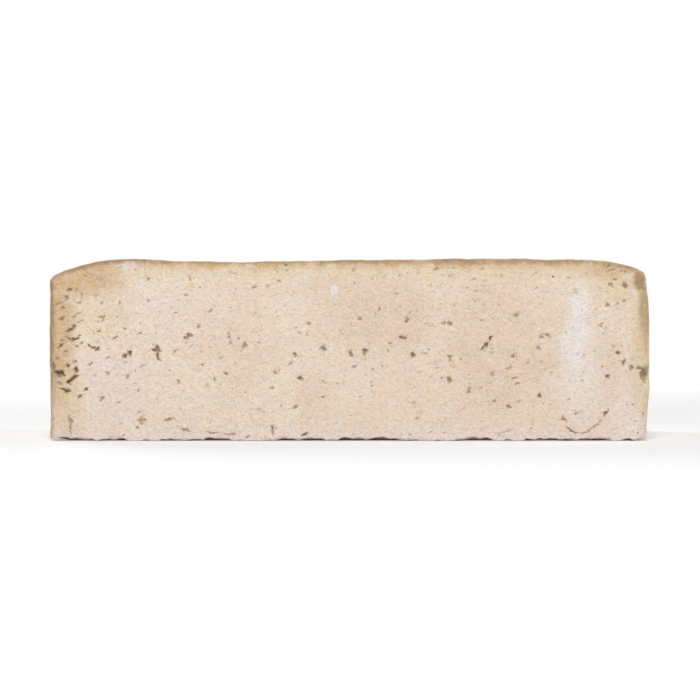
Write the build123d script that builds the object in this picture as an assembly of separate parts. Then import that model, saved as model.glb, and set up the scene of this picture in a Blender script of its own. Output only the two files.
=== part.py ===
"""A solid facing brick of soft clay, thrown into a mould by hand and fired, lying on its bed.

The clay filled the mould's base only partly, so the upper bed falls away in a curve towards both
headers, while the struck lower bed is level and has sharp arrises. The stretcher face that shows
is at -Y, the headers are at -X and +X, and the origin is the middle of the lower bed.
All sizes are in millimetres and all slopes in degrees.
"""

import math
import os
from collections import namedtuple

from build123d import *

# Work size of the brick.
length = 215.0
width = 102.5
height = 65.0

# How far the upper bed has fallen at each corner, and the length over which it falls.
front_left_droop = 6.5
front_left_reach = 28.0
front_right_droop = 5.0
front_right_reach = 26.0
back_left_droop = 5.2
back_left_reach = 25.0
back_right_droop = 4.2
back_right_reach = 23.0

# Rounding of the arrises: the upright ones, those of the upper bed and those of the struck bed.
left_arris_radius = 2.4
right_arris_radius = 4.5
upper_arris_radius = 2.0
lower_arris_radius = 0.8

# Hollows in the stretcher face, each a slot with leaning flanks: how far its middle is from the
# header it is measured from and above the lower bed, its length, width and slope.
Hollow = namedtuple("Hollow", "from_header above_bed long wide slope")

# Open pits that the clay left, measured from the left header.
pit_depth = 1.6
pit_flank = 18.0
pits = [
    Hollow(from_header=16.3, above_bed=33.0, long=4.6, wide=1.5, slope=-24.0),
    Hollow(from_header=28.0, above_bed=31.2, long=4.2, wide=1.7, slope=16.0),
    Hollow(from_header=38.7, above_bed=32.0, long=4.8, wide=2.0, slope=78.0),
    Hollow(from_header=50.0, above_bed=38.2, long=3.2, wide=1.4, slope=48.0),
]

# Cold shuts, where folds of clay met at the left end, measured from the left header.
fold_depth = 2.4
fold_flank = 10.0
folds = [
    Hollow(from_header=4.2, above_bed=24.2, long=4.4, wide=1.5, slope=-12.0),
    Hollow(from_header=8.6, above_bed=22.6, long=5.2, wide=1.5, slope=42.0),
    Hollow(from_header=7.8, above_bed=40.2, long=4.4, wide=1.3, slope=40.0),
    Hollow(from_header=7.0, above_bed=17.6, long=4.4, wide=1.2, slope=-14.0),
]

# Pits nearer the other end, measured from the right header.
far_pits = [
    Hollow(from_header=59.4, above_bed=34.0, long=4.4, wide=1.4, slope=38.0),
    Hollow(from_header=16.2, above_bed=9.8, long=4.2, wide=1.3, slope=52.0),
]

# Drying crack near the foot of the right end, as wide as this in the middle and closed at both
# ends. Its three points are given as distance from the right header and height above the bed.
crack_tip = (30.4, 5.0)
crack_belly = (23.6, 2.6)
crack_tail = (17.8, 7.0)
crack_width = 1.0
crack_depth = 1.3

# Flake lost from the right-hand arris of the stretcher face.
flake_above_bed = 23.5
flake_radius = 5.0
flake_bite = 1.6

# Overlap of every cutting body past the surface that it cuts.
cutting_margin = 4.0

left_header = -length / 2
right_header = length / 2
front_face = -width / 2
back_face = width / 2


def section_above_end(face, side, droop, reach):
    """What is missing above one falling end, as seen in the plane of a stretcher face.

    The arc leaves the level bed without a kink and has fallen by droop at the header.
    """
    radius = (reach**2 + droop**2) / (2 * droop)
    header = side * length / 2
    inner = header - side * reach
    outer = header + side * cutting_margin
    fallen = height - radius + math.sqrt(radius**2 - (reach + cutting_margin) ** 2)
    above = height + cutting_margin
    with BuildSketch(Plane((0, face, 0), x_dir=(1, 0, 0), z_dir=(0, -1, 0))) as section:
        with BuildLine():
            TangentArc((inner, height), (outer, fallen), tangent=(side, 0))
            Polyline((outer, fallen), (outer, above), (inner, above), (inner, height))
        make_face()
    return section.sketch


def space_above_end(side, front_droop, front_reach, back_droop, back_reach):
    """The space above one falling end, ruled between its front and back sections."""
    front = section_above_end(front_face, side, front_droop, front_reach)
    back = section_above_end(back_face, side, back_droop, back_reach)
    return loft([front, back], ruled=True)


def outline_edges(faces):
    """The edges around a group of faces, without those that two of the faces share."""
    edges = [edge for face in faces for edge in face.edges()]
    return [edge for edge in edges if sum(edge.is_same(other) for other in edges) == 1]


def moulded_block():
    """The brick without its flaws: a block with falling ends and rounded arrises."""
    block = Pos(0, 0, height / 2) * Box(length, width, height)
    block -= space_above_end(
        -1, front_left_droop, front_left_reach, back_left_droop, back_left_reach
    )
    block -= space_above_end(
        1, front_right_droop, front_right_reach, back_right_droop, back_right_reach
    )
    left_arrises = block.edges().filter_by(Axis.Z).group_by(Axis.X)[0]
    block = fillet(left_arrises, left_arris_radius)
    right_arrises = block.edges().filter_by(Axis.Z).group_by(Axis.X)[-1]
    block = fillet(right_arrises, right_arris_radius)

    lower_bed = block.faces().sort_by(Axis.Z)[0]
    block = fillet(lower_bed.edges(), lower_arris_radius)
    # The upper rounding can't be larger than that of an upright arris which it runs round.
    upper_radius = min(upper_arris_radius, left_arris_radius, right_arris_radius)
    upper_bed = [face for face in block.faces() if face.normal_at().Z > math.cos(math.pi / 4)]
    return fillet(outline_edges(upper_bed), upper_radius)


def on_front_face(x, z):
    """A plane on the stretcher face, looking out of it, with its own x along the brick."""
    return Plane((x, front_face, z), x_dir=(1, 0, 0), z_dir=(0, -1, 0))


def hollow_body(hollow, header, depth, flank):
    """The body that one hollow leaves out of the stretcher face."""
    inwards = -math.copysign(1, header)
    middle = on_front_face(header + inwards * hollow.from_header, hollow.above_bed)
    mouth = middle * SlotOverall(hollow.long, hollow.wide, rotation=hollow.slope)
    return extrude(mouth, amount=depth, dir=(0, 1, 0), taper=flank)


def crack_body():
    """A crescent cut straight in, between two arcs that meet at the crack's ends."""
    tip, belly, tail = (
        (right_header - from_header, above_bed)
        for from_header, above_bed in (crack_tip, crack_belly, crack_tail)
    )
    upper_belly = (belly[0], belly[1] + crack_width)
    with BuildSketch(on_front_face(0, 0)) as mouth:
        with BuildLine():
            ThreePointArc(tip, belly, tail)
            ThreePointArc(tail, upper_belly, tip)
        make_face()
    return extrude(mouth.sketch, amount=crack_depth, dir=(0, 1, 0))


def flake_body():
    """The ball whose cap is missing from the rounded right-hand arris."""
    setback = right_arris_radius * (1 - math.sqrt(0.5))
    outwards = (flake_radius - flake_bite) * math.sqrt(0.5)
    x = right_header - setback + outwards
    y = front_face + setback - outwards
    return Pos(x, y, flake_above_bed) * Sphere(flake_radius)


brick = moulded_block()
for pit in pits:
    brick -= hollow_body(pit, left_header, pit_depth, pit_flank)
for fold in folds:
    brick -= hollow_body(fold, left_header, fold_depth, fold_flank)
for pit in far_pits:
    brick -= hollow_body(pit, right_header, pit_depth, pit_flank)
brick -= crack_body()
brick -= flake_body()

os.makedirs("parts", exist_ok=True)
export_step(brick, "parts/brick.step")
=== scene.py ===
"""Dresses a moulded facing brick: its pitted clay body, the finish of the fired clay and a studio.

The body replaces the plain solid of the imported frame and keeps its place: the stretcher face that
shows is at -Y, the headers are at -X and +X, and the brick lies on its struck bed at Z = 0.
Blender works in metres here. Places on a side of the brick are given in millimetres.
"""

import math
import random
from collections import defaultdict, namedtuple
from functools import partial

import bmesh
import bpy
from bpy.props import FloatProperty, FloatVectorProperty, IntProperty, PointerProperty
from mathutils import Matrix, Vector, noise


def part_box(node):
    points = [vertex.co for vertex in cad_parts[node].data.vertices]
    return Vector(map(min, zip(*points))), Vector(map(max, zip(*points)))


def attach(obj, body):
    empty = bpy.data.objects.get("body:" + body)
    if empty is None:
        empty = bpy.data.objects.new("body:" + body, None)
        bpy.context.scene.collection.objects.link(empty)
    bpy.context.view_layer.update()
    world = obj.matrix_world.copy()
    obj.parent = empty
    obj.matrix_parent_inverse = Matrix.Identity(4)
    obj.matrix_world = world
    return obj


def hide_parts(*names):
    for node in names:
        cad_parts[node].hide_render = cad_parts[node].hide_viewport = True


bl_info = {
    "name": "Moulded facing brick",
    "version": (1, 0, 0),
    "blender": (4, 5, 0),
    "location": "3D View > Sidebar > Brick",
    "description": "Builds the pitted body of a moulded facing brick and a studio around it",
    "category": "Object",
}

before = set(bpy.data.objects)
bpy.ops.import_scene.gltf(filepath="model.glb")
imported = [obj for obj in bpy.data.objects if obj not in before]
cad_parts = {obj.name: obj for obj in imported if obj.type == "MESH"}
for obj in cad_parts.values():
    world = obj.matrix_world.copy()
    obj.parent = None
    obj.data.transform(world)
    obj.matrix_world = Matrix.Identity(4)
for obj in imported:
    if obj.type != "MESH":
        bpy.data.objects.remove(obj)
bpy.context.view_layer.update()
BRICK_LOW, BRICK_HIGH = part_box("brick")
BRICK_SIZE = BRICK_HIGH - BRICK_LOW

MM = 0.001


def display_colour(red, green, blue):
    """The linear colour that shaders take, from a colour as a screen shows it, from 0 to 255."""

    def linear(level):
        share = level / 255
        return share / 12.92 if share <= 0.04045 else ((share + 0.055) / 1.055) ** 2.4

    return linear(red), linear(green), linear(blue)


def length_property(name, description, default):
    """A length that the user can change, in metres."""
    return FloatProperty(
        name=name, description=description, default=default, min=0, precision=5, unit="LENGTH"
    )


def colour_property(name, description, default):
    """A colour that the user can change."""
    return FloatVectorProperty(
        name=name, description=description, default=default, min=0, max=1, size=3, subtype="COLOR"
    )


def share_property(name, description, default, highest=1.0):
    """A plain number that the user can change."""
    return FloatProperty(name=name, description=description, default=default, min=0, max=highest)


class BrickShape(bpy.types.PropertyGroup):
    """Sizes of the brick, of its rounded arrises and of its falling corners."""

    length: length_property("Length", "Over the headers", BRICK_SIZE.x)
    width: length_property("Width", "Over the stretcher faces", BRICK_SIZE.y)
    height: length_property("Height", "Over the beds", BRICK_SIZE.z)
    left_arris: length_property("Left arris", "Rounding of the left uprights", 2.4 * MM)
    right_arris: length_property("Right arris", "Rounding of the right uprights", 4.5 * MM)
    upper_arris: length_property("Upper arris", "Rounding of the upper bed", 2.0 * MM)
    lower_arris: length_property("Lower arris", "Rounding of the struck bed", 0.4 * MM)
    cell: length_property("Cell", "Size of the body's mesh cells", 2.1 * MM)
    wander: length_property("Wander", "How far a side leaves its plane", 0.35 * MM)
    dip: length_property("Dip", "Sag of the upper bed between its ends", 0.8 * MM)
    burr: length_property("Burr", "Unevenness of the struck arris", 1.4 * MM)
    seed: IntProperty(name="Seed", description="Picks the scattered pits and chips", default=7)


class BrickFinish(bpy.types.PropertyGroup):
    """Colours of the fired clay, some of which also paint shade and light, and how strong its grain
    is.
    """

    cream: colour_property("Cream", "Most of the clay", display_colour(232, 215, 196))
    pink: colour_property("Pink", "Warm clouds in the clay", display_colour(225, 201, 181))
    # The ochre is partly scum along the arrises and partly painted shade, most along the upper
    # arris.
    ochre: colour_property("Ochre", "Scum along the arrises", display_colour(203, 169, 127))
    # The umber is partly a dark crust and partly painted shadow: the dark line along the front
    # arrises and the notches of flakes.
    umber: colour_property("Umber", "Outermost arrises", display_colour(148, 121, 89))
    yellow: colour_property("Yellow", "Band inside the ochre", display_colour(222, 202, 168))
    bloom: colour_property("Bloom", "White salts", display_colour(232, 225, 220))
    # The foot colour is partly paler clay and partly painted light: the struck bed's lip made paler
    # where it caught light and where its bevel falls into shade.
    foot: colour_property("Foot", "Paler clay at the struck bed", display_colour(231, 214, 205))
    # Rim: the colour of brown sand grains, and also painted shade in shallow hollows and pores.
    rim: colour_property("Rim", "Shallow hollows", display_colour(197, 172, 146))
    # The colour inside pits and cracks: partly browner clay, partly painted shade where they lie in
    # shadow.
    pit_clay_and_shade: colour_property("Pit", "Inside of pits and cracks", display_colour(162, 137, 113))
    fleck: colour_property("Fleck", "Small dark grains", display_colour(112, 84, 60))
    grain: share_property("Grain", "Strength of the fine relief", 1.0, highest=3.0)


class BrickStage(bpy.types.PropertyGroup):
    """The floor, the lamps and the camera."""

    floor_radius: length_property("Floor", "Radius of the floor", 1.6)
    key: share_property("Key", "Light of the main lamp on the front face", 0.498, highest=4.0)
    back: share_property("Back", "Light of the back lamp on the back face", 0.39, highest=4.0)
    side: share_property("Side", "Light of the side lamp on the right header", 0.28, highest=4.0)
    fill: share_property("Fill", "Light from all round", 0.24, highest=4.0)
    lens: length_property("Lens", "Focal length of the camera", 100 * MM)
    brick_share: share_property("Brick share", "Share of the picture's width", 0.86)


# Which axis a side looks along and in which direction, and the axes along it and up it. Places on
# a side are measured from the brick's left, front and lower planes.
Side = namedtuple("Side", "axis sign along up")
SIDES = {
    "front": Side(1, -1, 0, 2),
    "back": Side(1, 1, 0, 2),
    "left header": Side(0, -1, 1, 2),
    "right header": Side(0, 1, 1, 2),
    "upper bed": Side(2, 1, 0, 1),
    "lower bed": Side(2, -1, 0, 1),
}

# How far each corner of the upper bed has fallen, and the length over which it falls, in mm.
Corner = namedtuple("Corner", "fall reach")
LEFT_END = {"front": Corner(6.5, 28.0), "back": Corner(5.2, 25.0)}
RIGHT_END = {"front": Corner(5.0, 26.0), "back": Corner(4.2, 23.0)}

# A hollow in one side: the line of points that it follows, its width and its depth, in mm.
Scar = namedtuple("Scar", "points wide depth")

# Folds of clay at the left end of the stretcher face, its torn pits and its drying crack.
FOLDS = [
    Scar([(13.7, 34.4), (15.4, 33.4), (17.0, 32.9)], 1.0, 0.9),
    Scar([(2.3, 24.8), (4.0, 24.2), (5.3, 23.4)], 2.1, 1.9),
    Scar([(6.3, 20.5), (8.0, 21.9), (9.7, 22.9)], 1.8, 1.8),
    Scar([(4.4, 18.6), (6.0, 17.9), (7.7, 17.7)], 1.6, 1.3),
    Scar([(6.3, 39.2), (8.0, 40.2), (9.2, 41.2)], 1.5, 1.2),
    Scar([(5.9, 37.1), (7.6, 36.0), (9.6, 36.3), (11.2, 37.6)], 1.1, 0.9),
    Scar([(7.2, 8.6), (7.8, 6.6), (7.3, 4.7), (7.9, 2.4)], 1.1, 0.7),
    Scar([(154.2, 32.6), (156.0, 34.2), (156.9, 35.1)], 1.2, 1.0),
    Scar([(184.6, 5.2), (186.6, 3.4), (189.4, 2.6)], 1.0, 0.6),
    Scar([(189.4, 2.6), (192.4, 3.1), (195.4, 5.6), (197.2, 7.2)], 0.9, 0.55),
]

# Slits and short tears of the stretcher face, each as its two ends, its width and its depth in mm.
SLITS = [
    (16.4, 32.8, 18.0, 33.1, 1.4, 1.2), (26.4, 30.0, 27.4, 30.6, 1.8, 1.2),
    (27.8, 31.0, 29.2, 31.6, 1.9, 1.4), (39.1, 34.6, 38.8, 32.2, 1.5, 1.2),
    (38.9, 31.4, 38.7, 29.2, 1.35, 1.1), (37.2, 32.4, 39.2, 31.8, 1.5, 1.4),
    (48.6, 36.4, 49.8, 37.6, 1.2, 0.9), (49.8, 37.6, 50.6, 38.3, 1.8, 1.2),
    (9.0, 25.4, 10.4, 25.0, 2.1, 1.6), (3.4, 33.4, 4.9, 34.6, 1.2, 0.9),
    (6.6, 27.6, 6.9, 25.8, 1.0, 0.9), (10.4, 15.2, 11.8, 16.4, 1.2, 0.9),
    (13.0, 18.0, 13.7, 18.9, 1.3, 1.0), (157.6, 36.0, 157.9, 37.4, 1.1, 1.0),
    (198.0, 8.6, 199.6, 10.8, 1.3, 1.0), (4.2, 35.6, 5.2, 35.9, 0.8, 0.8),
    (9.4, 33.6, 10.4, 34.2, 0.8, 0.7), (5.6, 31.6, 6.8, 32.2, 0.9, 0.8),
    (8.2, 44.0, 9.6, 44.8, 0.8, 0.7), (4.4, 47.2, 5.4, 47.8, 0.8, 0.7),
    (10.2, 49.0, 11.6, 49.6, 0.7, 0.6), (14.2, 27.2, 15.6, 28.0, 0.8, 0.6),
    (16.8, 38.6, 18.6, 39.8, 0.8, 0.6), (22.4, 36.4, 24.4, 37.4, 0.8, 0.6),
    (31.4, 37.8, 33.2, 38.9, 0.7, 0.55), (20.2, 29.4, 21.8, 30.0, 0.7, 0.5),
    (32.6, 26.2, 34.4, 27.4, 0.7, 0.5), (44.2, 31.6, 45.8, 32.6, 0.7, 0.5),
    (24.0, 13.4, 25.8, 14.0, 0.7, 0.45),
]

# Round pits of the stretcher face, each as its place and width in mm.
ROUND_PITS = [
    (19, 44, 1.0), (26, 45, 0.6), (27, 40, 0.9), (38, 41, 0.8), (36, 45, 0.6), (21, 24, 0.9),
    (28, 23, 0.9), (32, 18, 0.9), (46, 21, 1.0), (63, 24, 1.2), (59, 22, 1.0), (70, 17, 0.95),
    (64, 38, 0.9), (65, 35, 0.9), (70, 34, 1.1), (19, 15, 1.1), (33, 7, 1.0), (43, 25, 0.8),
    (81, 46, 0.7), (88, 31, 1.1), (90, 22, 1.3), (81, 24, 1.1), (80, 19, 1.0), (92, 38, 0.8),
    (93, 42, 1.0), (98, 33, 1.3), (98, 38, 0.8), (98, 21, 0.8), (108, 31, 1.2), (111, 44, 1.0),
    (113, 32, 1.3), (115, 20, 0.8), (118, 47, 1.0), (121, 32, 0.9), (122, 35, 1.0),
    (126, 37, 1.3), (128, 43, 1.2), (130, 31, 1.3), (135, 42, 0.8), (137, 41, 0.9),
    (139, 26, 1.0), (141, 42, 1.0), (143, 42, 1.1), (143, 22, 1.25), (143, 30, 1.1),
    (147, 29, 0.8), (150, 18, 1.0), (152, 50, 0.8), (159, 14, 1.0), (164, 12, 1.1),
    (166, 30, 1.2), (167, 45, 1.2), (171, 28, 0.8), (175, 16, 1.3), (175, 33, 1.0),
    (176, 37, 1.0), (178, 38, 1.1), (184, 8, 1.1), (195, 32, 0.7), (197, 41, 0.8),
    (200, 23, 1.4), (199.5, 48.4, 1.1), (200.6, 55.4, 1.2), (200, 62, 1.2), (202.5, 31.3, 1.2),
    (203, 49, 0.95), (205.1, 28.2, 1.3), (205.6, 55.4, 1.3), (206, 60, 0.9), (211, 26, 1.2),
    (207.8, 26, 1.1), (202.2, 57.6, 1.0), (207, 62, 1.0), (212, 44.8, 0.9), (158.4, 23.8, 0.9),
    (109, 61, 0.9), (97, 63, 1.1), (85, 63, 1.1), (82, 57, 0.9), (7.4, 53.8, 1.2),
    (6.2, 51.2, 1.0), (4.9, 43.6, 1.15), (11, 42.6, 1.0), (50, 57.6, 0.95), (49, 52, 0.9),
    (53.5, 41, 0.95), (3.2, 49.2, 1.1), (2.6, 29.4, 1.1), (3.6, 20.6, 1.0), (9.4, 28.4, 1.0),
]

# Shallow scratches that the struck surplus drew along the foot of the stretcher face.
FOOT_SCRATCHES = [
    Scar([(31.6, 7.2), (33.2, 7.7), (35.0, 7.3)], 1.4, 0.55),
    Scar([(40.2, 6.9), (42.2, 7.6), (44.6, 7.8)], 1.2, 0.55),
    Scar([(46.6, 4.4), (48.6, 4.0), (50.6, 3.4)], 1.4, 0.55),
    Scar([(56.0, 3.0), (58.6, 2.6), (61.0, 2.9)], 1.0, 0.45),
    Scar([(61.8, 1.9), (64.2, 2.3), (67.4, 2.9)], 0.9, 0.45),
    Scar([(79.6, 5.6), (79.9, 2.2)], 0.8, 0.7),
    Scar([(90.2, 1.6), (92.6, 3.0)], 1.1, 0.9),
    Scar([(160.5, 2.6), (165.4, 3.9)], 0.8, 0.4),
]

# Clay lost at an arris: its middle in the frame, in mm, its radius, how deep it bites and the
# direction that it faced.
Flake = namedtuple("Flake", "x y z radius depth facing")
FLAKES = [
    Flake(106.8, -50.2, 23.6, 3.8, 2.3, (1, -1, 0.2)),
    Flake(105.6, -49.6, 57.2, 5.0, 1.3, (1, -1, 0.8)),
    Flake(-107.2, -50.9, 26.5, 2.4, 0.9, (-1, -1, 0)),
    Flake(-106.9, 50.6, 9.0, 3.6, 1.2, (-1, 1, 0)),
    Flake(106.0, 50.2, 52.0, 4.2, 1.3, (1, 1, 0)),
    Flake(-60.0, 51.0, 0.2, 3.0, 0.9, (0, 1, -1)),
    Flake(52.0, 50.9, 64.6, 3.2, 0.8, (0, 1, 1)),
]
# How ragged the outline of a flake is, and the share of its radius over which it is flat.
FLAKE_RAGGEDNESS = 0.3
FLAKE_FLOOR = 0.45

# How many pits are scattered over each side, and the width of the widest, in mm.
SCATTERED_PITS = {
    "front": (50, 0.75),
    "left header": (26, 1.7),
    "right header": (26, 1.7),
    "back": (56, 1.7),
    "upper bed": (46, 1.9),
    "lower bed": (30, 1.9),
}

# The rounds that halve the mesh cells at scars and flakes: how close to a scar a cell has to be,
# the length that it has to exceed, in mm, and the sides whose scars count.
Halving = namedtuple("Halving", "margin cell sides")
HALVINGS = [
    Halving(1.0, 1.3, tuple(SIDES)),
    Halving(0.45, 0.7, tuple(SIDES)),
    Halving(0.15, 0.4, ("front",)),
    Halving(0.0, 0.3, tuple(SIDES)),
]

# Clouds of noise, each as its size and its weight: broad and fine waves of all sides, in metres,
# and the tears of the struck arris, in mm.
BROAD_WAVES = ((46 * MM, 1.0), (19 * MM, 0.5))
FINE_WAVES = ((7.5 * MM, 0.3), (3.3 * MM, 0.2))
TEARS = ((11, 0.9), (4.2, 0.8), (1.9, 0.5))
# How far up the tears reach.
TEAR_REACH = 2.6 * MM

# The right header draws in above and below its belly: from which level to which, and how far, in
# mm. It does so over the last stretch of the brick's length.
Bow = namedtuple("Bow", "start end depth")
HEADER_BOWS = (Bow(40, 58, 1.0), Bow(20, 0, 1.2))
HEADER_BOW_REACH = 8 * MM


def nearest_side(normal):
    """The name of the side that a normal belongs to."""
    return max(SIDES, key=lambda name: normal[SIDES[name].axis] * SIDES[name].sign)


def facing_of(side):
    """The direction that a side faces."""
    facing = Vector()
    facing[side.axis] = side.sign
    return facing


def place_on_side(point, side):
    """A point's place along and up a side, in mm from the brick's left, front and lower planes."""
    along = (point[side.along] - BRICK_LOW[side.along]) / MM
    up = (point[side.up] - BRICK_LOW[side.up]) / MM
    return along, up


def smooth_step(low, high, value):
    """0 below low, 1 above high and a smooth rise between them."""
    share = min(max((value - low) / (high - low), 0.0), 1.0)
    return share * share * (3 - 2 * share)


def between(first, second, share):
    """The value that lies a share of the way from the first to the second."""
    return first + (second - first) * share


def distance_to_line(along, up, points):
    """Distance of a place from a line of points, and how far along the line it lies, 0 to 1."""
    if len(points) == 1:
        return math.hypot(along - points[0][0], up - points[0][1]), 0.5
    nearest = (math.inf, 0.0)
    spans = len(points) - 1
    for index in range(spans):
        (x, y), (next_x, next_y) = points[index : index + 2]
        run_x, run_y = next_x - x, next_y - y
        share = ((along - x) * run_x + (up - y) * run_y) / (run_x**2 + run_y**2)
        share = min(max(share, 0.0), 1.0)
        distance = math.hypot(along - x - share * run_x, up - y - share * run_y)
        nearest = min(nearest, (distance, (index + share) / spans))
    return nearest


class ScarMap:
    """The scars of one side, sorted into squares so that those near a place are found fast."""

    SQUARE = 4.0
    REACH = 1.6
    LIP = 0.16
    ALONG_CLOUD = Vector((31.7, 4.3, 11.9))
    UP_CLOUD = Vector((7.1, 57.3, 23.6))

    def __init__(self, scars):
        self.squares = defaultdict(list)
        for scar in scars:
            reach = scar.wide + self.REACH
            columns = self.span([point[0] for point in scar.points], reach)
            rows = self.span([point[1] for point in scar.points], reach)
            for column in columns:
                for row in rows:
                    self.squares[column, row].append(scar)

    def span(self, values, reach):
        first = math.floor((min(values) - reach) / self.SQUARE)
        last = math.floor((max(values) + reach) / self.SQUARE)
        return range(first, last + 1)

    def near(self, along, up):
        square = math.floor(along / self.SQUARE), math.floor(up / self.SQUARE)
        return self.squares.get(square, ())

    def is_within(self, along, up, margin):
        """Whether a place is inside a scar or closer to it than the margin."""
        for scar in self.near(along, up):
            if distance_to_line(along, up, scar.points)[0] < scar.wide / 2 + margin:
                return True
        return False

    def depth_at(self, along, up):
        """How deep the scars are at a place, with ragged outlines; below 0 on their raised lips."""
        deepest, lip = 0.0, 0.0
        for scar in self.near(along, up):
            place = Vector((along, up, scar.points[0][0]))
            moved_along, moved_up = along, up
            for size, amount in ((0.85 * scar.wide, 0.55 * scar.wide), (0.55, 0.24)):
                moved_along += amount * noise.noise(place / size + self.ALONG_CLOUD)
                moved_up += amount * noise.noise(place / size + self.UP_CLOUD)
            distance, share = distance_to_line(moved_along, moved_up, scar.points)
            taper = 1.0 if len(scar.points) == 1 else 1 - 0.45 * abs(2 * share - 1) ** 3
            reach = distance / (scar.wide / 2 * taper)
            uneven = 0.85 + 0.45 * noise.noise(place / 1.1)
            outline = 1 - smooth_step(0.1, 1.3, reach)
            deepest = max(deepest, outline * scar.depth * taper * uneven)
            ring = smooth_step(0.9, 1.45, reach) * (1 - smooth_step(1.45, 2.4, reach))
            lip = max(lip, ring * min(scar.depth, 1.0) * self.LIP)
        return deepest - lip


def extent(side):
    """How long and how high a side is, in mm."""
    return BRICK_SIZE[side.along] / MM, BRICK_SIZE[side.up] / MM


def scattered_pits(side, count, widest, chooser):
    """Small pits all over a side, most of them round and some of them slanting slits."""
    long, high = extent(side)
    pits = []
    while len(pits) < count:
        along, up = chooser.uniform(1.5, long - 1.5), chooser.uniform(1.5, high - 1.5)
        crowding = 0.5 + 0.5 * noise.noise(Vector((along / 17, up / 17, side.axis * 9.0)))
        if chooser.random() > crowding**1.5 + 0.15:
            continue
        wide = min(0.6 + chooser.expovariate(3.2), widest)
        points = [(along, up)]
        if chooser.random() < 0.3:
            slope = chooser.gauss(0.5, 0.7)
            run = chooser.uniform(0.8, 2.2)
            points.append((along + run * math.cos(slope), up + run * math.sin(slope)))
        pits.append(Scar(points, wide, wide * chooser.uniform(0.5, 0.9)))
    return pits


def cold_shuts(side, count, chooser):
    """Folds where slugs of clay met in the mould: slanting, and mostly near the side's middle."""
    long, high = extent(side)
    folds = []
    for _ in range(count):
        along = chooser.uniform(6, long - 14)
        up = min(max(chooser.gauss(high * 0.42, high * 0.16), 5.0), high - 8.0)
        slope = chooser.gauss(0.3, 0.6)
        points = [(along, up)]
        for _ in range(chooser.randint(1, 3)):
            slope += chooser.gauss(0, 0.5)
            run = chooser.uniform(0.9, 1.9)
            along += run * math.cos(slope)
            up += run * math.sin(slope)
            points.append((along, up))
        folds.append(Scar(points, chooser.uniform(1.0, 2.1), chooser.uniform(0.6, 1.4)))
    return folds


def strike_scratches(side, count, chooser):
    """Long shallow drags that the strike left along the lower bed."""
    long, high = extent(side)
    scratches = []
    for _ in range(count):
        along, up = chooser.uniform(2, long - 60), chooser.uniform(4, high - 4)
        points = [(along, up)]
        for _ in range(chooser.randint(3, 8)):
            along += chooser.uniform(5, 9)
            up += chooser.gauss(0, 0.25)
            points.append((along, up))
        scratches.append(Scar(points, chooser.uniform(0.8, 1.8), chooser.uniform(0.2, 0.5)))
    return scratches


def scars_of_sides(seed):
    """A scar map for each side."""
    chooser = random.Random(seed)
    slits = [Scar([(x, z), (to_x, to_z)], *size) for x, z, to_x, to_z, *size in SLITS]
    round_pits = [Scar([(x, z)], 1.7 * wide, 0.6 * wide**2) for x, z, wide in ROUND_PITS]
    scars = {
        "front": FOLDS + slits + round_pits + FOOT_SCRATCHES,
        "left header": cold_shuts(SIDES["left header"], 7, chooser),
        "right header": cold_shuts(SIDES["right header"], 5, chooser),
        "back": cold_shuts(SIDES["back"], 9, chooser),
        "upper bed": cold_shuts(SIDES["upper bed"], 7, chooser),
        "lower bed": strike_scratches(SIDES["lower bed"], 26, chooser),
    }
    for name, (count, widest) in SCATTERED_PITS.items():
        scars[name] = scars[name] + scattered_pits(SIDES[name], count, widest, chooser)
    return {name: ScarMap(found) for name, found in scars.items()}


def edges_along(bm, axis, longer_than):
    """The straight edges that run along an axis and are longer than a length."""
    found = []
    for edge in bm.edges:
        run = edge.verts[1].co - edge.verts[0].co
        if run.length > longer_than and abs(run[axis]) > 0.999 * run.length:
            found.append(edge)
    return found


def round_edges(bm, edges, radius, segments):
    """Rounds some edges of the block."""
    bmesh.ops.bevel(
        bm,
        geom=edges,
        offset=radius,
        offset_type="OFFSET",
        segments=segments,
        profile=0.5,
        affect="EDGES",
        material=-1,
        clamp_overlap=True,
    )


def cut_across(bm, axis, place):
    """Cuts the whole surface along a plane square to an axis, without parting it."""
    point, normal = Vector(), Vector()
    point[axis] = place
    normal[axis] = 1
    geometry = bm.verts[:] + bm.edges[:] + bm.faces[:]
    bmesh.ops.bisect_plane(bm, geom=geometry, dist=1e-6, plane_co=point, plane_no=normal)


def rounded_block(shape):
    """A block with rounded arrises, whose sides are cut into cells."""
    bm = bmesh.new()
    bmesh.ops.create_cube(bm, size=1.0)
    bmesh.ops.scale(bm, vec=(shape.length, shape.width, shape.height), verts=bm.verts)
    bmesh.ops.translate(bm, vec=(0, 0, shape.height / 2), verts=bm.verts)

    left_uprights = [e for e in edges_along(bm, 2, 0) if e.verts[0].co.x < 0]
    round_edges(bm, left_uprights, shape.left_arris, 4)
    right_uprights = [e for e in edges_along(bm, 2, 0) if e.verts[0].co.x > shape.length / 2 - MM]
    round_edges(bm, right_uprights, shape.right_arris, 6)
    for level, radius, segments in (
        (shape.height, shape.upper_arris, 4),
        (0, shape.lower_arris, 2),
    ):
        rim = [e for e in bm.edges if all(abs(v.co.z - level) < MM / 100 for v in e.verts)]
        round_edges(bm, rim, radius, segments)

    end, face = shape.length / 2, shape.width / 2 - shape.right_arris
    cuts = (
        (0, shape.left_arris - end),
        (0, end - shape.right_arris),
        (1, -face),
        (1, face),
        (2, 2.5 * shape.lower_arris),
    )
    for axis, place in cuts:
        cut_across(bm, axis, place)
    for axis in range(3):
        by_cuts = defaultdict(list)
        for edge in edges_along(bm, axis, 1.5 * shape.cell):
            by_cuts[round(edge.calc_length() / shape.cell) - 1].append(edge)
        for cuts, edges in by_cuts.items():
            bmesh.ops.subdivide_edges(bm, edges=edges, cuts=cuts, use_grid_fill=True)
    return bm


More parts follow.
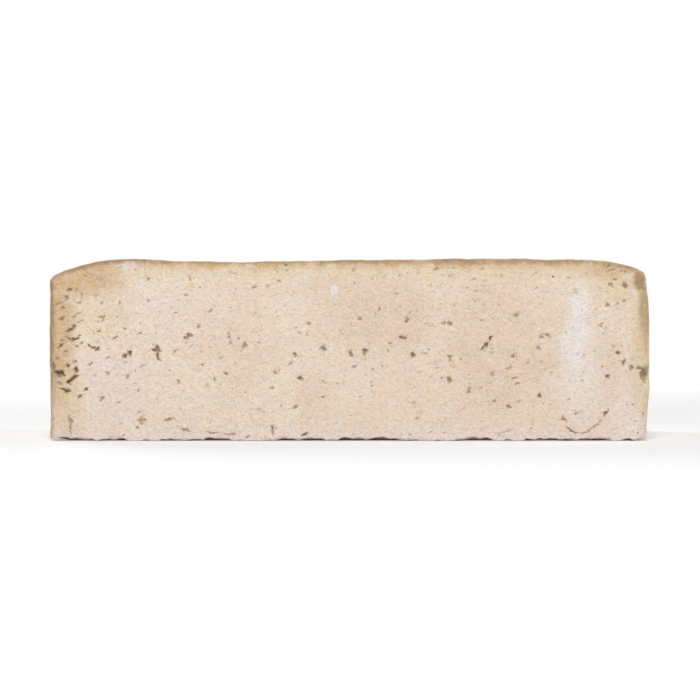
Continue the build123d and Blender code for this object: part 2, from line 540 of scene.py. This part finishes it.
def fall_at(x, y, shape):
    """How far the upper bed has fallen at a place: an arc at each end, ruled across the width."""
    share = min(max(y / shape.width + 0.5, 0.0), 1.0)
    for side, end in ((-1, LEFT_END), (1, RIGHT_END)):
        fall = between(end["front"].fall, end["back"].fall, share) * MM
        reach = between(end["front"].reach, end["back"].reach, share) * MM
        into = side * x - shape.length / 2 + reach
        if into > 0:
            radius = (reach**2 + fall**2) / (2 * fall)
            return radius - math.sqrt(radius**2 - min(into, reach) ** 2)
    return 0.0


def dip_at(x, y, shape):
    """How far the upper bed dips between its falling ends: most left of the middle."""
    along = math.exp(-(((x + 34 * MM) / (30 * MM)) ** 2))
    ripple = 0.3 * noise.noise(Vector((x, y, 0)) / (17 * MM))
    return shape.dip * max(along + ripple, 0.0)


def let_ends_fall(bm, shape):
    """Lowers the body towards its falling corners, most at the upper bed and not at the lower."""
    for vert in bm.verts:
        vert.co.z *= 1 - fall_at(vert.co.x, vert.co.y, shape) / shape.height
    for vert in bm.verts:
        share = smooth_step(0.6, 1.0, vert.co.z / shape.height)
        vert.co.z -= share * dip_at(vert.co.x, vert.co.y, shape)


def split_faces(bm, faces):
    """Cuts each face in four, and joins the cuts to the faces around them."""
    edges = list({edge for face in faces for edge in face.edges})
    bmesh.ops.subdivide_edges(bm, edges=edges, cuts=1, use_grid_fill=True)


def longest_edge(face):
    """Length of a face's longest edge."""
    return max(edge.calc_length() for edge in face.edges)


def refine_stretcher(bm, shape):
    """Halves the cells of the stretcher face and of the arrises around it."""
    face_plane = -shape.width / 2
    near = [f for f in bm.faces if f.calc_center_median().y < face_plane + 2.5 * MM]
    split_faces(bm, near)


def refine_scars(bm, scar_maps, halving):
    """Halves the cells that are larger than a size and lie in or near a scar or a flake."""
    bm.normal_update()
    flakes = [(Vector((f.x, f.y, f.z)) * MM, f.radius * MM) for f in FLAKES]
    chosen = []
    for face in bm.faces:
        if longest_edge(face) < halving.cell * MM:
            continue
        middle = face.calc_center_median()
        name = nearest_side(face.normal)
        along, up = place_on_side(middle, SIDES[name])
        if name in halving.sides and scar_maps[name].is_within(along, up, halving.margin):
            chosen.append(face)
        elif any((middle - place).length < radius * 1.2 for place, radius in flakes):
            chosen.append(face)
    split_faces(bm, chosen)


def distance_to_arris(point, shape):
    """How far a point of the surface lies from the nearest upper or upright arris."""
    fallen = fall_at(point.x, point.y, shape)
    level = point.z / (1 - fallen / shape.height)
    gaps = sorted(
        (
            shape.length / 2 - abs(point.x),
            shape.width / 2 - abs(point.y),
            shape.height - level,
        )
    )
    return max(gaps[1], 0.0)


def cloud_sum(point, clouds):
    """The sum of some clouds of noise at a point, which is in the unit of their sizes."""
    return sum(weight * noise.noise(point / size) for size, weight in clouds)


def wander_at(point, arris, shape):
    """How far the surface stands off its plane, in and out, most unevenly at its arrises."""
    unevenness = 2.6 - 1.6 * smooth_step(1.0, 5.0, arris / MM)
    fine = cloud_sum(point, FINE_WAVES) * unevenness
    drawn_down = Vector((point.x / (3.2 * MM), point.y / (3.2 * MM), point.z / (38 * MM)))
    drags = 0.16 * noise.noise(drawn_down)
    rougher_behind = 1 + 0.5 * smooth_step(-46, -30, point.y / MM)
    return shape.wander * rougher_behind * (0.62 * cloud_sum(point, BROAD_WAVES) + fine + drags)


def struck_arris_lift(point, shape):
    """How far the arris of the struck bed is torn upwards at a point, fading out away from it."""
    edge = min(shape.length / 2 - abs(point.x), shape.width / 2 - abs(point.y))
    nearness = 1 - smooth_step(0.0, TEAR_REACH, math.hypot(point.z, 0.28 * edge))
    if nearness <= 0:
        return 0.0
    torn = 0.28 + cloud_sum(Vector((point.x, point.y, 0)) / MM, TEARS)
    raised_end = smooth_step(-80 * MM, -86 * MM, point.x) * 0.4
    return nearness * shape.burr * min(max(torn + raised_end, 0.0), 1.0)


def header_bow(point, shape):
    """How far the right header draws in above and below its belly."""
    end = shape.length / 2
    start = end - HEADER_BOW_REACH
    if point.x < start:
        return 0.0
    depth = sum(smooth_step(bow.start, bow.end, point.z / MM) * bow.depth for bow in HEADER_BOWS)
    return depth * MM * smooth_step(start, end, point.x)


def flake_bite(point):
    """How deep the flakes of the arrises are at a point, and the direction that they faced."""
    deepest, facing = 0.0, Vector()
    for flake in FLAKES:
        offset = point / MM - Vector((flake.x, flake.y, flake.z))
        if offset.length < flake.radius * 1.4:
            tear = noise.noise(point / MM * 0.6 + Vector((flake.x, 0, 0)))
            share = offset.length / flake.radius * (1 + FLAKE_RAGGEDNESS * tear)
            outline = 1 - smooth_step(FLAKE_FLOOR, 1.0, share)
            if outline * flake.depth > deepest:
                deepest, facing = outline * flake.depth, Vector(flake.facing).normalized()
    return deepest * MM, facing


def wear_surface(bm, shape, scar_maps):
    """Presses every hollow into the body, and keeps what the finish needs to know of each point."""
    bm.normal_update()
    hollow_layer = bm.verts.layers.float.new("hollow")
    arris_layer = bm.verts.layers.float.new("arris")
    broken_layer = bm.verts.layers.float.new("broken")
    for vert in bm.verts:
        point, normal = vert.co.copy(), vert.normal.copy()
        name = nearest_side(normal)
        along, up = place_on_side(point, SIDES[name])
        scar = scar_maps[name].depth_at(along, up) * MM
        bite, bite_facing = flake_bite(point)
        arris = distance_to_arris(point, shape)
        out = wander_at(point, arris, shape)
        if name == "lower bed":
            out = min(out, 0.0)
        vert.co += normal * out - facing_of(SIDES[name]) * scar - bite_facing * bite
        vert.co.x -= header_bow(point, shape)
        vert.co.z += struck_arris_lift(point, shape)
        vert.co.z = max(vert.co.z, 0.0)
        vert[hollow_layer] = max(scar, 0.0) / MM
        vert[arris_layer] = arris / MM
        vert[broken_layer] = bite / MM


def piece_from(bm, name):
    """A smooth object made of a bmesh, in the scene."""
    bmesh.ops.recalc_face_normals(bm, faces=bm.faces)
    mesh = bpy.data.meshes.new(name)
    bm.to_mesh(mesh)
    bm.free()
    mesh.shade_smooth()
    piece = bpy.data.objects.new(name, mesh)
    bpy.context.collection.objects.link(piece)
    return piece


class Wiring:
    """Adds nodes to one tree and joins their sockets."""

    def __init__(self, tree):
        self.tree = tree

    def add(self, kind, inputs=(), **settings):
        """A new node, with its settings, and its inputs given a value or joined to an output."""
        node = self.tree.nodes.new("ShaderNode" + kind)
        node.location = (190 * len(self.tree.nodes), 0)
        for name, value in settings.items():
            setattr(node, name, value)
        for name, value in dict(inputs).items():
            self.feed(node.inputs[name], value)
        return node

    def feed(self, socket, value):
        if isinstance(value, bpy.types.NodeSocket):
            self.tree.links.new(value, socket)
        elif socket.type == "RGBA" and len(value) == 3:
            socket.default_value = (*value, 1)
        else:
            socket.default_value = value

    def math(self, operation, first, second, third=0.0):
        inputs = {0: first, 1: second, 2: third}
        return self.add("Math", inputs, operation=operation).outputs[0]

    def times(self, first, second):
        return self.math("MULTIPLY", first, second)

    def sum(self, terms):
        """The sum of some values, each times its weight."""
        total = 0.0
        for value, weight in terms:
            total = self.math("MULTIPLY_ADD", value, weight, total)
        return total

    def vector(self, operation, first, second):
        inputs = {0: first, 1: second}
        return self.add("VectorMath", inputs, operation=operation).outputs[0]

    def scaled(self, vector, amount):
        inputs = {0: vector, 3: amount}
        return self.add("VectorMath", inputs, operation="SCALE").outputs[0]

    def length(self, vector):
        node = self.add("VectorMath", {0: vector}, operation="LENGTH")
        return node.outputs["Value"]

    def mapped(self, position, turn, stretch):
        """The position for a texture that is turned and drawn out."""
        inputs = {"Vector": position, "Rotation": turn, "Scale": stretch}
        return self.add("Mapping", inputs, vector_type="TEXTURE").outputs[0]

    def step(self, value, low, high, to_low=0.0, to_high=1.0):
        """A smooth step of a value from one range to another."""
        inputs = {0: value, 1: low, 2: high, 3: to_low, 4: to_high}
        node = self.add("MapRange", inputs, interpolation_type="SMOOTHSTEP")
        return node.outputs[0]

    def mix(self, share, first, second, blend="MIX"):
        node = self.add("Mix", data_type="RGBA", blend_type=blend)
        for socket, value in ((0, share), (6, first), (7, second)):
            self.feed(node.inputs[socket], value)
        return node.outputs[2]

    def noise(self, position, size, detail=2.0, roughness=0.5):
        """Noise whose clouds are about a size across, in the unit of the position."""
        inputs = {"Vector": position, "Scale": 1 / size, "Detail": detail, "Roughness": roughness}
        return self.add("TexNoise", inputs).outputs["Fac"]

    def attribute(self, name):
        node = self.add("Attribute", attribute_name=name, attribute_type="GEOMETRY")
        return node.outputs["Fac"]

    def group(self, tree, inputs):
        node = self.add("Group", node_tree=tree)
        for name, value in inputs.items():
            self.feed(node.inputs[name], value)
        return node.outputs


def fresh_wiring(owner):
    """Empties the node tree of a material or a world, and gives the wiring to fill it."""
    owner.use_nodes = True
    owner.node_tree.nodes.clear()
    return Wiring(owner.node_tree)


def node_group(name, vectors, numbers, made):
    """An empty shader node group, with its own wiring, its input sockets and its output socket."""
    tree = bpy.data.node_groups.new(name, "ShaderNodeTree")
    for kind, sockets in (("NodeSocketVector", vectors), ("NodeSocketFloat", numbers)):
        for socket in sockets:
            tree.interface.new_socket(socket, in_out="INPUT", socket_type=kind)
    tree.interface.new_socket(made, in_out="OUTPUT", socket_type="NodeSocketFloat")
    given = tree.nodes.new("NodeGroupInput").outputs
    return tree, Wiring(tree), given, tree.nodes.new("NodeGroupOutput").inputs[made]


def pulled_about(wiring, position, size, amount, detail=1.0):
    """The position shifted by noise, in mm, so that what follows it gets an uneven outline."""
    inputs = {"Vector": position, "Scale": 1 / size, "Detail": detail}
    cloud = wiring.add("TexNoise", inputs).outputs["Color"]
    centred = wiring.vector("SUBTRACT", cloud, (0.5, 0.5, 0.5))
    return wiring.vector("ADD", position, wiring.scaled(centred, amount))


def cloud_patch_group():
    """A soft patch with a wandering outline round a middle point."""
    tree, wiring, given, mask = node_group(
        "Cloud patch", ("Position", "Middle", "Reach"), ("Wander", "Softness"), "Mask"
    )
    moved = pulled_about(wiring, given["Position"], 6.25, given["Wander"], detail=3.0)
    offset = wiring.vector("SUBTRACT", moved, given["Middle"])
    share = wiring.length(wiring.vector("DIVIDE", offset, given["Reach"]))
    inner = wiring.math("SUBTRACT", 1.0, given["Softness"])
    outer = wiring.math("ADD", 1.0, given["Softness"])
    wiring.feed(mask, wiring.step(share, inner, outer, 1.0, 0.0))
    return tree


def pinhole_group():
    """Open pores: balls of clay-free space of many sizes, cut by the surface, with soft rims."""
    tree, wiring, given, mask = node_group(
        "Pinholes", ("Position",), ("Spacing", "Radius", "Share"), "Mask"
    )
    scale = wiring.math("DIVIDE", 1.0, given["Spacing"])
    cells = wiring.add("TexVoronoi", {"Vector": given["Position"], "Scale": scale})
    distance = wiring.times(cells.outputs["Distance"], given["Spacing"])
    lots = wiring.add("SeparateColor", {0: cells.outputs["Color"]}).outputs
    size = wiring.math("MULTIPLY_ADD", lots[1], 0.9, 0.45)
    inside = wiring.math("DIVIDE", distance, wiring.times(size, given["Radius"]))
    hole = wiring.step(inside, 0.3, 1.25, 1.0, 0.0)
    drawn = wiring.math("LESS_THAN", lots[0], given["Share"])
    deep = wiring.math("MULTIPLY_ADD", lots[2], 0.7, 0.3)
    wiring.feed(mask, wiring.times(wiring.times(hole, drawn), deep))
    return tree


def stretched_clay_group():
    """Uneven clay, drawn out along a direction."""
    tree, wiring, given, streaks = node_group(
        "Stretched clay", ("Position", "Turn", "Stretch"), ("Spacing",), "Streaks"
    )
    drawn = wiring.mapped(given["Position"], given["Turn"], given["Stretch"])
    scale = wiring.math("DIVIDE", 1.0, given["Spacing"])
    inputs = {"Vector": drawn, "Scale": scale, "Detail": 2.0, "Roughness": 0.5}
    wiring.feed(streaks, wiring.add("TexNoise", inputs).outputs["Fac"])
    return tree


# Patches of the stretcher face: their middle across and up, their reach across, inwards and up and
# how far their outline wanders, in mm from the middle of the lower bed, and then their strength
# and the softness of their outline. Their middles lie in one plane.
Patch = namedtuple("Patch", "middle reach wander strength softness", defaults=[0.5])
PATCH_PLANE = -51
PINK_PATCHES = [
    Patch((12, 46), (22, 14, 16), 14, 0.9, 0.55),
    Patch((54, 34), (22, 14, 28), 14, 0.85),
    Patch((93, 22), (6, 14, 18), 6, 0.75),
    Patch((-12, 12), (7, 12, 12), 8, 0.5),
    Patch((-84, 16), (8, 14, 12), 10, 0.35),
    Patch((-32, 56), (17, 14, 6), 8, 0.4),
    Patch((-6, 54), (12, 14, 6), 8, 0.75),
]
BLOOM_PATCHES = [
    Patch((82.2, 43), (3.6, 12, 11), 2.6, 1.0),
    Patch((79.8, 33), (4.6, 12, 11), 2.6, 0.85, 0.6),
    Patch((82, 21), (8, 12, 14), 5, 0.45, 0.6),
    Patch((-5.8, 54), (1.5, 8, 1.9), 1.2, 1.0, 0.4),
    Patch((-79, 62.6), (3.4, 8, 1.6), 1.5, 0.6),
    Patch((103, 4.5), (4, 12, 4), 3, 0.4),
]
# Where the clay is as pale as at the foot. The patch at the right foot is painted light, where that
# end gets less light from the key lamp.
PALE_PATCHES = [
    Patch((-84, 20), (13, 14, 14), 9, 0.7),
    Patch((-70, 44), (16, 14, 10), 10, 0.4, 0.6),
    Patch((102, 10), (9, 12, 12), 5, 0.9),
]
YELLOW_PATCHES = [
    Patch((104.5, 31), (4, 12, 18), 3, 0.9),
    Patch((97, 57), (10, 12, 8), 7, 0.7, 0.6),
    Patch((-93, 50), (14, 14, 14), 10, 0.45, 0.6),
    Patch((-101, 18), (6, 12, 11), 5, 0.6),
    Patch((106, 13), (2.4, 12, 10), 2, 0.9),
]
# Ochre along the arrises: partly scum, partly painted shade, most along the upper arris.
OCHRE_PATCHES = [
    Patch((-96, 59), (13, 14, 7), 6, 0.85),
    Patch((-104.5, 40), (6, 20, 26), 7, 0.81, 0.6),
    Patch((-101, 9), (5, 12, 9), 6, 0.2, 0.6),
    Patch((92, 62), (10, 12, 4), 4, 0.6),
    Patch((104.5, 58), (3.5, 12, 4.5), 3, 0.7),
    Patch((106.5, 48), (3.5, 14, 13), 3, 0.85),
]
# Umber along the uprights: partly crust, partly a painted shadow line at the arris.
UMBER_PATCHES = [
    Patch((105.8, 47), (2.4, 6, 9), 2, 0.3),
    Patch((103.5, 57), (2.4, 6, 3.6), 2, 0.4),
    Patch((-106.8, 42), (1.8, 6, 13), 1.5, 0.35),
    Patch((-106.6, 24), (1.8, 6, 12), 1.5, 0.3),
]
# Where an arris has kept the colour of the face beside it.
CLEAN_PATCHES = [
    Patch((108, 14), (9, 16, 19), 6, 1.0),
    Patch((-108, 8), (5, 16, 14), 5, 0.6),
]

# Pores that are too small for the mesh: how far apart they lie, their radius, the share of them
# that is open, their depth and how much they are drawn out, in mm.
Pores = namedtuple("Pores", "spacing radius share depth stretch")
PORES = [
    Pores(1.25, 0.24, 0.5, 0.14, 1.2),
    Pores(2.2, 0.42, 0.42, 0.26, 1.6),
    Pores(3.2, 0.56, 0.6, 0.34, 2.6),
]
PORE_SLOPE = math.radians(28)

# Grains in the clay: how far apart they lie, their radius, the share of places that hold one, the
# colour that they show and how strongly.
Grains = namedtuple("Grains", "spacing radius share colour strength")
IRON = Grains(5.5, 0.36, 0.3, "fleck", 0.8)
BROWN_SAND = Grains(1.4, 0.22, 0.4, "rim", 0.6)
QUARTZ = Grains(1.1, 0.2, 0.4, "bloom", 0.55)


def laid_patches(wiring, tree, position, patches, base):
    """A mask with all patches of one kind on top of a base mask."""
    mask = base
    for patch in patches:
        across, up = patch.middle
        inputs = {
            "Position": position,
            "Middle": (across, PATCH_PLANE, up),
            "Reach": patch.reach,
            "Wander": patch.wander,
            "Softness": patch.softness,
        }
        made = wiring.group(tree, inputs)["Mask"]
        mask = wiring.math("MAXIMUM", mask, wiring.times(made, patch.strength))
    return mask


def pinholes_at(wiring, pinholes, position, kind, share):
    """A mask of the pores or grains of one kind."""
    inputs = {"Position": position, "Spacing": kind.spacing, "Radius": kind.radius, "Share": share}
    return wiring.group(pinholes, inputs)["Mask"]


def open_pores(wiring, pinholes, position, crowding):
    """How much shade is painted into the pores at each place, 0 to 1, and how deep they are there,
    in mm.
    """
    flowing = pulled_about(wiring, position, 24, 16)
    ragged = pulled_about(wiring, flowing, 0.9, 0.7)
    dark, depth = 0.0, 0.0
    for pores in PORES:
        slanting = wiring.mapped(ragged, (0, -PORE_SLOPE, 0), (pores.stretch, 1, 1))
        share = wiring.times(crowding, pores.share)
        mask = pinholes_at(wiring, pinholes, slanting, pores, share)
        dark = wiring.math("MAXIMUM", dark, mask)
        depth = wiring.math("MULTIPLY_ADD", mask, pores.depth, depth)
    return dark, depth


def clay_colour(wiring, position, finish, arris, textures):
    """Cream with pink and yellow clouds, ochre and umber arrises that are partly stain and partly
    painted shade, white bloom and mottling, and a foot painted paler.
    """
    laid = partial(laid_patches, wiring, cloud_patch_group(), position)
    clouds, mottle, grain = textures["clouds"], textures["mottle"], textures["grain"]
    parts = wiring.add("SeparateXYZ", {0: position}).outputs

    pinkness = wiring.times(wiring.step(wiring.noise(position, 26, 3.0), 0.42, 0.66), 0.5)
    colour = wiring.mix(laid(PINK_PATCHES, pinkness), finish.cream, finish.pink)

    # Painted light: paler towards the struck bed, partly the clay and partly light on its lip and
    # over the shade of its bevel.
    foot = wiring.sum(((parts["Z"], 1.0), (clouds, 6.0)))
    foot_paleness_and_light = wiring.step(foot, 4.0, 9.5, 0.75, 0.0)
    colour = wiring.mix(laid(PALE_PATCHES, foot_paleness_and_light), colour, finish.foot)

    away = wiring.step(parts["Y"], -46, -20)
    worn = wiring.step(wiring.noise(position, 17, 3.0), 0.4, 0.58, 0.0, 0.85)
    clean = laid(CLEAN_PATCHES, wiring.times(away, worn))
    stain_and_shade = wiring.math("SUBTRACT", 1.0, clean)

    inner_band = wiring.sum(((arris, 1.0), (clouds, -9.0)))
    inner_band = wiring.times(wiring.step(inner_band, -1.0, 4.0, 0.6, 0.0), stain_and_shade)
    yellow = wiring.math("MAXIMUM", laid(YELLOW_PATCHES, 0.0), inner_band)
    colour = wiring.mix(yellow, colour, finish.yellow)
    tanned = wiring.step(wiring.noise(position, 34, 3.0), 0.48, 0.68, 0.0, 0.5)
    colour = wiring.mix(wiring.times(tanned, away), colour, finish.yellow)
    sandy = wiring.times(wiring.step(mottle, 0.54, 0.7), 0.4)
    colour = wiring.mix(sandy, colour, finish.ochre)
    chalky = wiring.times(wiring.step(mottle, 0.46, 0.32), 0.55)
    colour = wiring.mix(chalky, colour, finish.bloom)

    # Painted shade: the ochre band along the upper and upright arrises is partly scum and partly
    # shade painted along the arris.
    band = wiring.sum(((arris, 1.0), (clouds, -5.0), (mottle, -3.0)))
    band = wiring.times(wiring.step(band, -3.2, 0.6, 0.95, 0.0), stain_and_shade)
    patchy = wiring.step(mottle, 0.3, 0.6, 0.55, 1.0)
    ochre = wiring.times(laid(OCHRE_PATCHES, band), patchy)
    colour = wiring.mix(ochre, colour, finish.ochre)

    # Painted shadow: the umber rim on the outermost arrises is partly crust and partly a dark
    # shadow line, strongest on the front face.
    rim = wiring.sum(((arris, 1.0), (grain, -1.2), (mottle, -2.0)))
    rim = wiring.times(wiring.step(rim, -1.4, 1.2, 0.88, 0.0), stain_and_shade)
    rim = wiring.times(rim, wiring.step(clouds, 0.34, 0.56, 0.45, 1.0))
    rim = wiring.times(rim, wiring.step(parts["Y"], -51.0, -49.0, 1.0, 0.3))
    colour = wiring.mix(laid(UMBER_PATCHES, rim), colour, finish.umber)

    broken_bloom = wiring.step(grain, 0.25, 0.6, 0.7, 1.0)
    bloom = wiring.times(laid(BLOOM_PATCHES, 0.0), broken_bloom)
    return wiring.mix(bloom, colour, finish.bloom)


def fired_clay(finish):
    """Matt, open-pored clay, mottled and gritty, with worn arrises, and with painted shade in its
    pits, pores and flakes and along its arrises.
    """
    material = bpy.data.materials.new("fired_clay")
    wiring = fresh_wiring(material)
    pinholes, stretched = pinhole_group(), stretched_clay_group()

    position = wiring.scaled(wiring.add("TexCoord").outputs["Object"], 1 / MM)
    hollow, arris, broken = (wiring.attribute(name) for name in ("hollow", "arris", "broken"))
    textures = {
        "clouds": wiring.noise(position, 9, 4.0, 0.6),
        "mottle": wiring.noise(position, 3.2, 3.0, 0.62),
        "coarse": wiring.noise(position, 1.5, 3.0, 0.6),
        "grain": wiring.noise(position, 0.55, 3.0, 0.65),
    }
    clouds, mottle, coarse, grain = textures.values()
    drawn = {"Position": position, "Turn": (0, 0, 0), "Stretch": (1, 1, 12), "Spacing": 2.4}
    streaks = wiring.group(stretched, drawn)["Streaks"]
    crowding = wiring.step(clouds, 0.3, 0.65, 0.35, 1.3)
    pore_shade, pore_depth = open_pores(wiring, pinholes, position, crowding)

    colour = clay_colour(wiring, position, finish, arris, textures)
    tone = wiring.sum(
        ((clouds, 0.12), (streaks, 0.06), (mottle, 0.3), (coarse, 0.38), (grain, 0.36))
    )
    tone = wiring.math("ADD", tone, 0.39)
    shade = wiring.add("CombineColor", {0: tone, 1: tone, 2: tone}).outputs[0]
    colour = wiring.mix(1.0, colour, shade, blend="MULTIPLY")
    grains = {}
    for kind in (IRON, BROWN_SAND, QUARTZ):
        grains[kind] = pinholes_at(wiring, pinholes, position, kind, kind.share)
        share = wiring.times(grains[kind], kind.strength)
        colour = wiring.mix(share, colour, getattr(finish, kind.colour))

    # Painted shade: hollows of the scars and the pores are darkened by colour, towards the rim
    # colour where shallow and the colour inside pits where deep, partly browner clay and partly the
    # shade inside them.
    hollow_shade = wiring.sum(((hollow, 1.0), (coarse, 0.9), (grain, 0.5)))
    hollow_shade = wiring.math("SUBTRACT", hollow_shade, 0.7)
    hollow_shade = wiring.times(hollow_shade, wiring.step(hollow, 0.0, 0.25))
    shallow = wiring.math("MAXIMUM", pore_shade, wiring.step(hollow_shade, 0.0, 0.3))
    colour = wiring.mix(shallow, colour, finish.rim)
    deep = wiring.step(pore_shade, 0.4, 0.95, 0.0, 0.65)
    deep = wiring.math("MAXIMUM", deep, wiring.step(hollow_shade, 0.2, 0.9))
    colour = wiring.mix(deep, colour, finish.pit_clay_and_shade)
    # Painted shadow: where a flake has broken off an arris, the clay is darkened towards umber for
    # the shadow in its notch.
    colour = wiring.mix(wiring.step(broken, 0.2, 1.9, 0.0, 0.6), colour, finish.umber)

    grits = wiring.add("TexVoronoi", {"Vector": position, "Scale": 1 / 0.8})
    relief = wiring.sum(
        (
            (mottle, 0.6 * finish.grain),
            (coarse, 0.42 * finish.grain),
            (grain, 0.26 * finish.grain),
            (grits.outputs["Distance"], -0.2 * finish.grain),
            (grains[QUARTZ], 0.12 * finish.grain),
            (streaks, 0.1 * finish.grain),
            (pore_depth, -1.0),
        )
    )
    bump = wiring.add("Bump", {"Height": relief, "Distance": MM, "Strength": 1.0})
    clay = wiring.add(
        "BsdfPrincipled",
        {
            "Base Color": colour,
            "Roughness": wiring.step(grain, 0.2, 0.8, 0.84, 0.97),
            "Specular IOR Level": 0.25,
            "Normal": bump.outputs[0],
        },
    )
    wiring.add("OutputMaterial", {"Surface": clay.outputs[0]})
    return material


class BRICK_OT_body(bpy.types.Operator):
    """Builds the clay body in place of the plain solid, and gives it its finish"""

    bl_idname = "brick.body"
    bl_label = "Clay body"

    def execute(self, context):
        shape = context.scene.brick_shape
        scar_maps = scars_of_sides(shape.seed)
        bm = rounded_block(shape)
        let_ends_fall(bm, shape)
        refine_stretcher(bm, shape)
        for halving in HALVINGS:
            refine_scars(bm, scar_maps, halving)
        wear_surface(bm, shape, scar_maps)
        body = piece_from(bm, "brick_body")
        body.data.materials.append(fired_clay(context.scene.brick_finish))
        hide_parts("brick")
        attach(body, "root")
        return {"FINISHED"}


# Where each lamp stands, in degrees to the right of the front face and above the floor, the side
# whose light is set, and the lamp's size and distance in metres.
Lamp = namedtuple("Lamp", "azimuth elevation side size distance")
LAMPS = {
    "key": Lamp(-1, 46, "front", 0.32, 1.3),
    "back": Lamp(-142, 24, "back", 0.6, 1.4),
    "side": Lamp(104, 24, "right header", 0.6, 1.4),
}


def lamp_power(level, distance, slant):
    """Power of a lamp that lights a white face to a level, where it meets the face at a slant."""
    return level * math.pi**2 * distance**2 / math.cos(slant)


def add_lamp(name, level, lamp):
    """A square soft lamp that shines at the brick and lights one of its sides to a level."""
    turn, rise = math.radians(lamp.azimuth), math.radians(lamp.elevation)
    across = math.cos(rise)
    towards = Vector((math.sin(turn) * across, -math.cos(turn) * across, math.sin(rise)))
    towards.normalize()
    slant = math.acos(towards.dot(facing_of(SIDES[lamp.side])))
    light = bpy.data.lights.new(name, "AREA")
    light.size = lamp.size
    light.energy = lamp_power(level, lamp.distance, slant)
    holder = bpy.data.objects.new(name, light)
    holder.location = towards * lamp.distance + Vector((0, 0, BRICK_SIZE.z / 2))
    holder.rotation_euler = towards.to_track_quat("Z", "Y").to_euler()
    bpy.context.collection.objects.link(holder)


def seen_directly(wiring):
    """1 for what the camera sees, in a mirror or through glass too, and 0 for what lights."""
    path = wiring.add("LightPath").outputs
    seen = wiring.math("MAXIMUM", path["Is Camera Ray"], path["Is Glossy Ray"])
    return wiring.math("MAXIMUM", seen, path["Is Transmission Ray"])


def floor_material(floor_radius):
    """A pale floor that keeps shadows and passes into the white backdrop further out."""
    material = bpy.data.materials.new("pale_floor")
    wiring = fresh_wiring(material)
    distance = wiring.length(wiring.add("TexCoord").outputs["Object"])
    far = wiring.step(distance, 0.08 * floor_radius, 0.6 * floor_radius, 0.25, 1.0)
    share = wiring.times(far, seen_directly(wiring))
    paper = wiring.add("BsdfDiffuse", {"Color": (0.86, 0.86, 0.86)})
    white = wiring.add("Emission", {"Color": (1, 1, 1), "Strength": 1.0})
    mixed = wiring.add("MixShader", {0: share, 1: paper.outputs[0], 2: white.outputs[0]})
    wiring.add("OutputMaterial", {"Surface": mixed.outputs[0]})
    return material


def studio_world(fill):
    """White where it is seen, and a plain soft fill where it lights the brick."""
    world = bpy.data.worlds.new("studio")
    wiring = fresh_wiring(world)
    seen = seen_directly(wiring)
    soft = wiring.add("Background", {"Color": (1, 1, 1), "Strength": fill})
    white = wiring.add("Background", {"Color": (1, 1, 1), "Strength": 1.0})
    mixed = wiring.add("MixShader", {0: seen, 1: soft.outputs[0], 2: white.outputs[0]})
    wiring.add("OutputWorld", {"Surface": mixed.outputs[0]})
    bpy.context.scene.world = world


class BRICK_OT_stage(bpy.types.Operator):
    """Sets up the floor, the lamps, the white backdrop and the camera in front of the brick"""

    bl_idname = "brick.stage"
    bl_label = "Studio"

    def execute(self, context):
        stage = context.scene.brick_stage
        shape = context.scene.brick_shape
        bm = bmesh.new()
        bmesh.ops.create_circle(bm, cap_ends=True, segments=96, radius=stage.floor_radius)
        floor = piece_from(bm, "floor")
        floor.data.materials.append(floor_material(stage.floor_radius))

        for name, lamp in LAMPS.items():
            add_lamp(f"{name}_lamp", getattr(stage, name), lamp)
        studio_world(stage.fill)

        camera = bpy.data.cameras.new("camera")
        camera.lens = stage.lens / MM
        holder = bpy.data.objects.new("camera", camera)
        view_width = shape.length / stage.brick_share
        distance = view_width * camera.lens / camera.sensor_width
        holder.location = (0, -shape.width / 2 - distance, shape.height / 2)
        holder.rotation_euler = (math.pi / 2, 0, 0)
        context.collection.objects.link(holder)
        context.scene.camera = holder
        context.scene.view_settings.view_transform = "Standard"
        return {"FINISHED"}


class BRICK_PT_panel(bpy.types.Panel):
    """Lists what makes the brick, with its sizes and colours"""

    bl_idname = "BRICK_PT_panel"
    bl_label = "Facing brick"
    bl_space_type = "VIEW_3D"
    bl_region_type = "UI"
    bl_category = "Brick"

    def draw(self, context):
        for operator in (BRICK_OT_body, BRICK_OT_stage):
            self.layout.operator(operator.bl_idname)
        for name in SETTINGS:
            settings = getattr(context.scene, name)
            column = self.layout.column()
            for field in settings.__annotations__:
                column.prop(settings, field)


SETTINGS = {"brick_shape": BrickShape, "brick_finish": BrickFinish, "brick_stage": BrickStage}
CLASSES = (*SETTINGS.values(), BRICK_OT_body, BRICK_OT_stage, BRICK_PT_panel)


def register():
    for item in CLASSES:
        bpy.utils.register_class(item)
    for name, group in SETTINGS.items():
        setattr(bpy.types.Scene, name, PointerProperty(type=group))


def unregister():
    for name in SETTINGS:
        delattr(bpy.types.Scene, name)
    for item in reversed(CLASSES):
        bpy.utils.unregister_class(item)


def main():
    """Builds the brick and the studio."""
    register()
    bpy.ops.brick.body()
    bpy.ops.brick.stage()


if __name__ == "__main__":
    main()
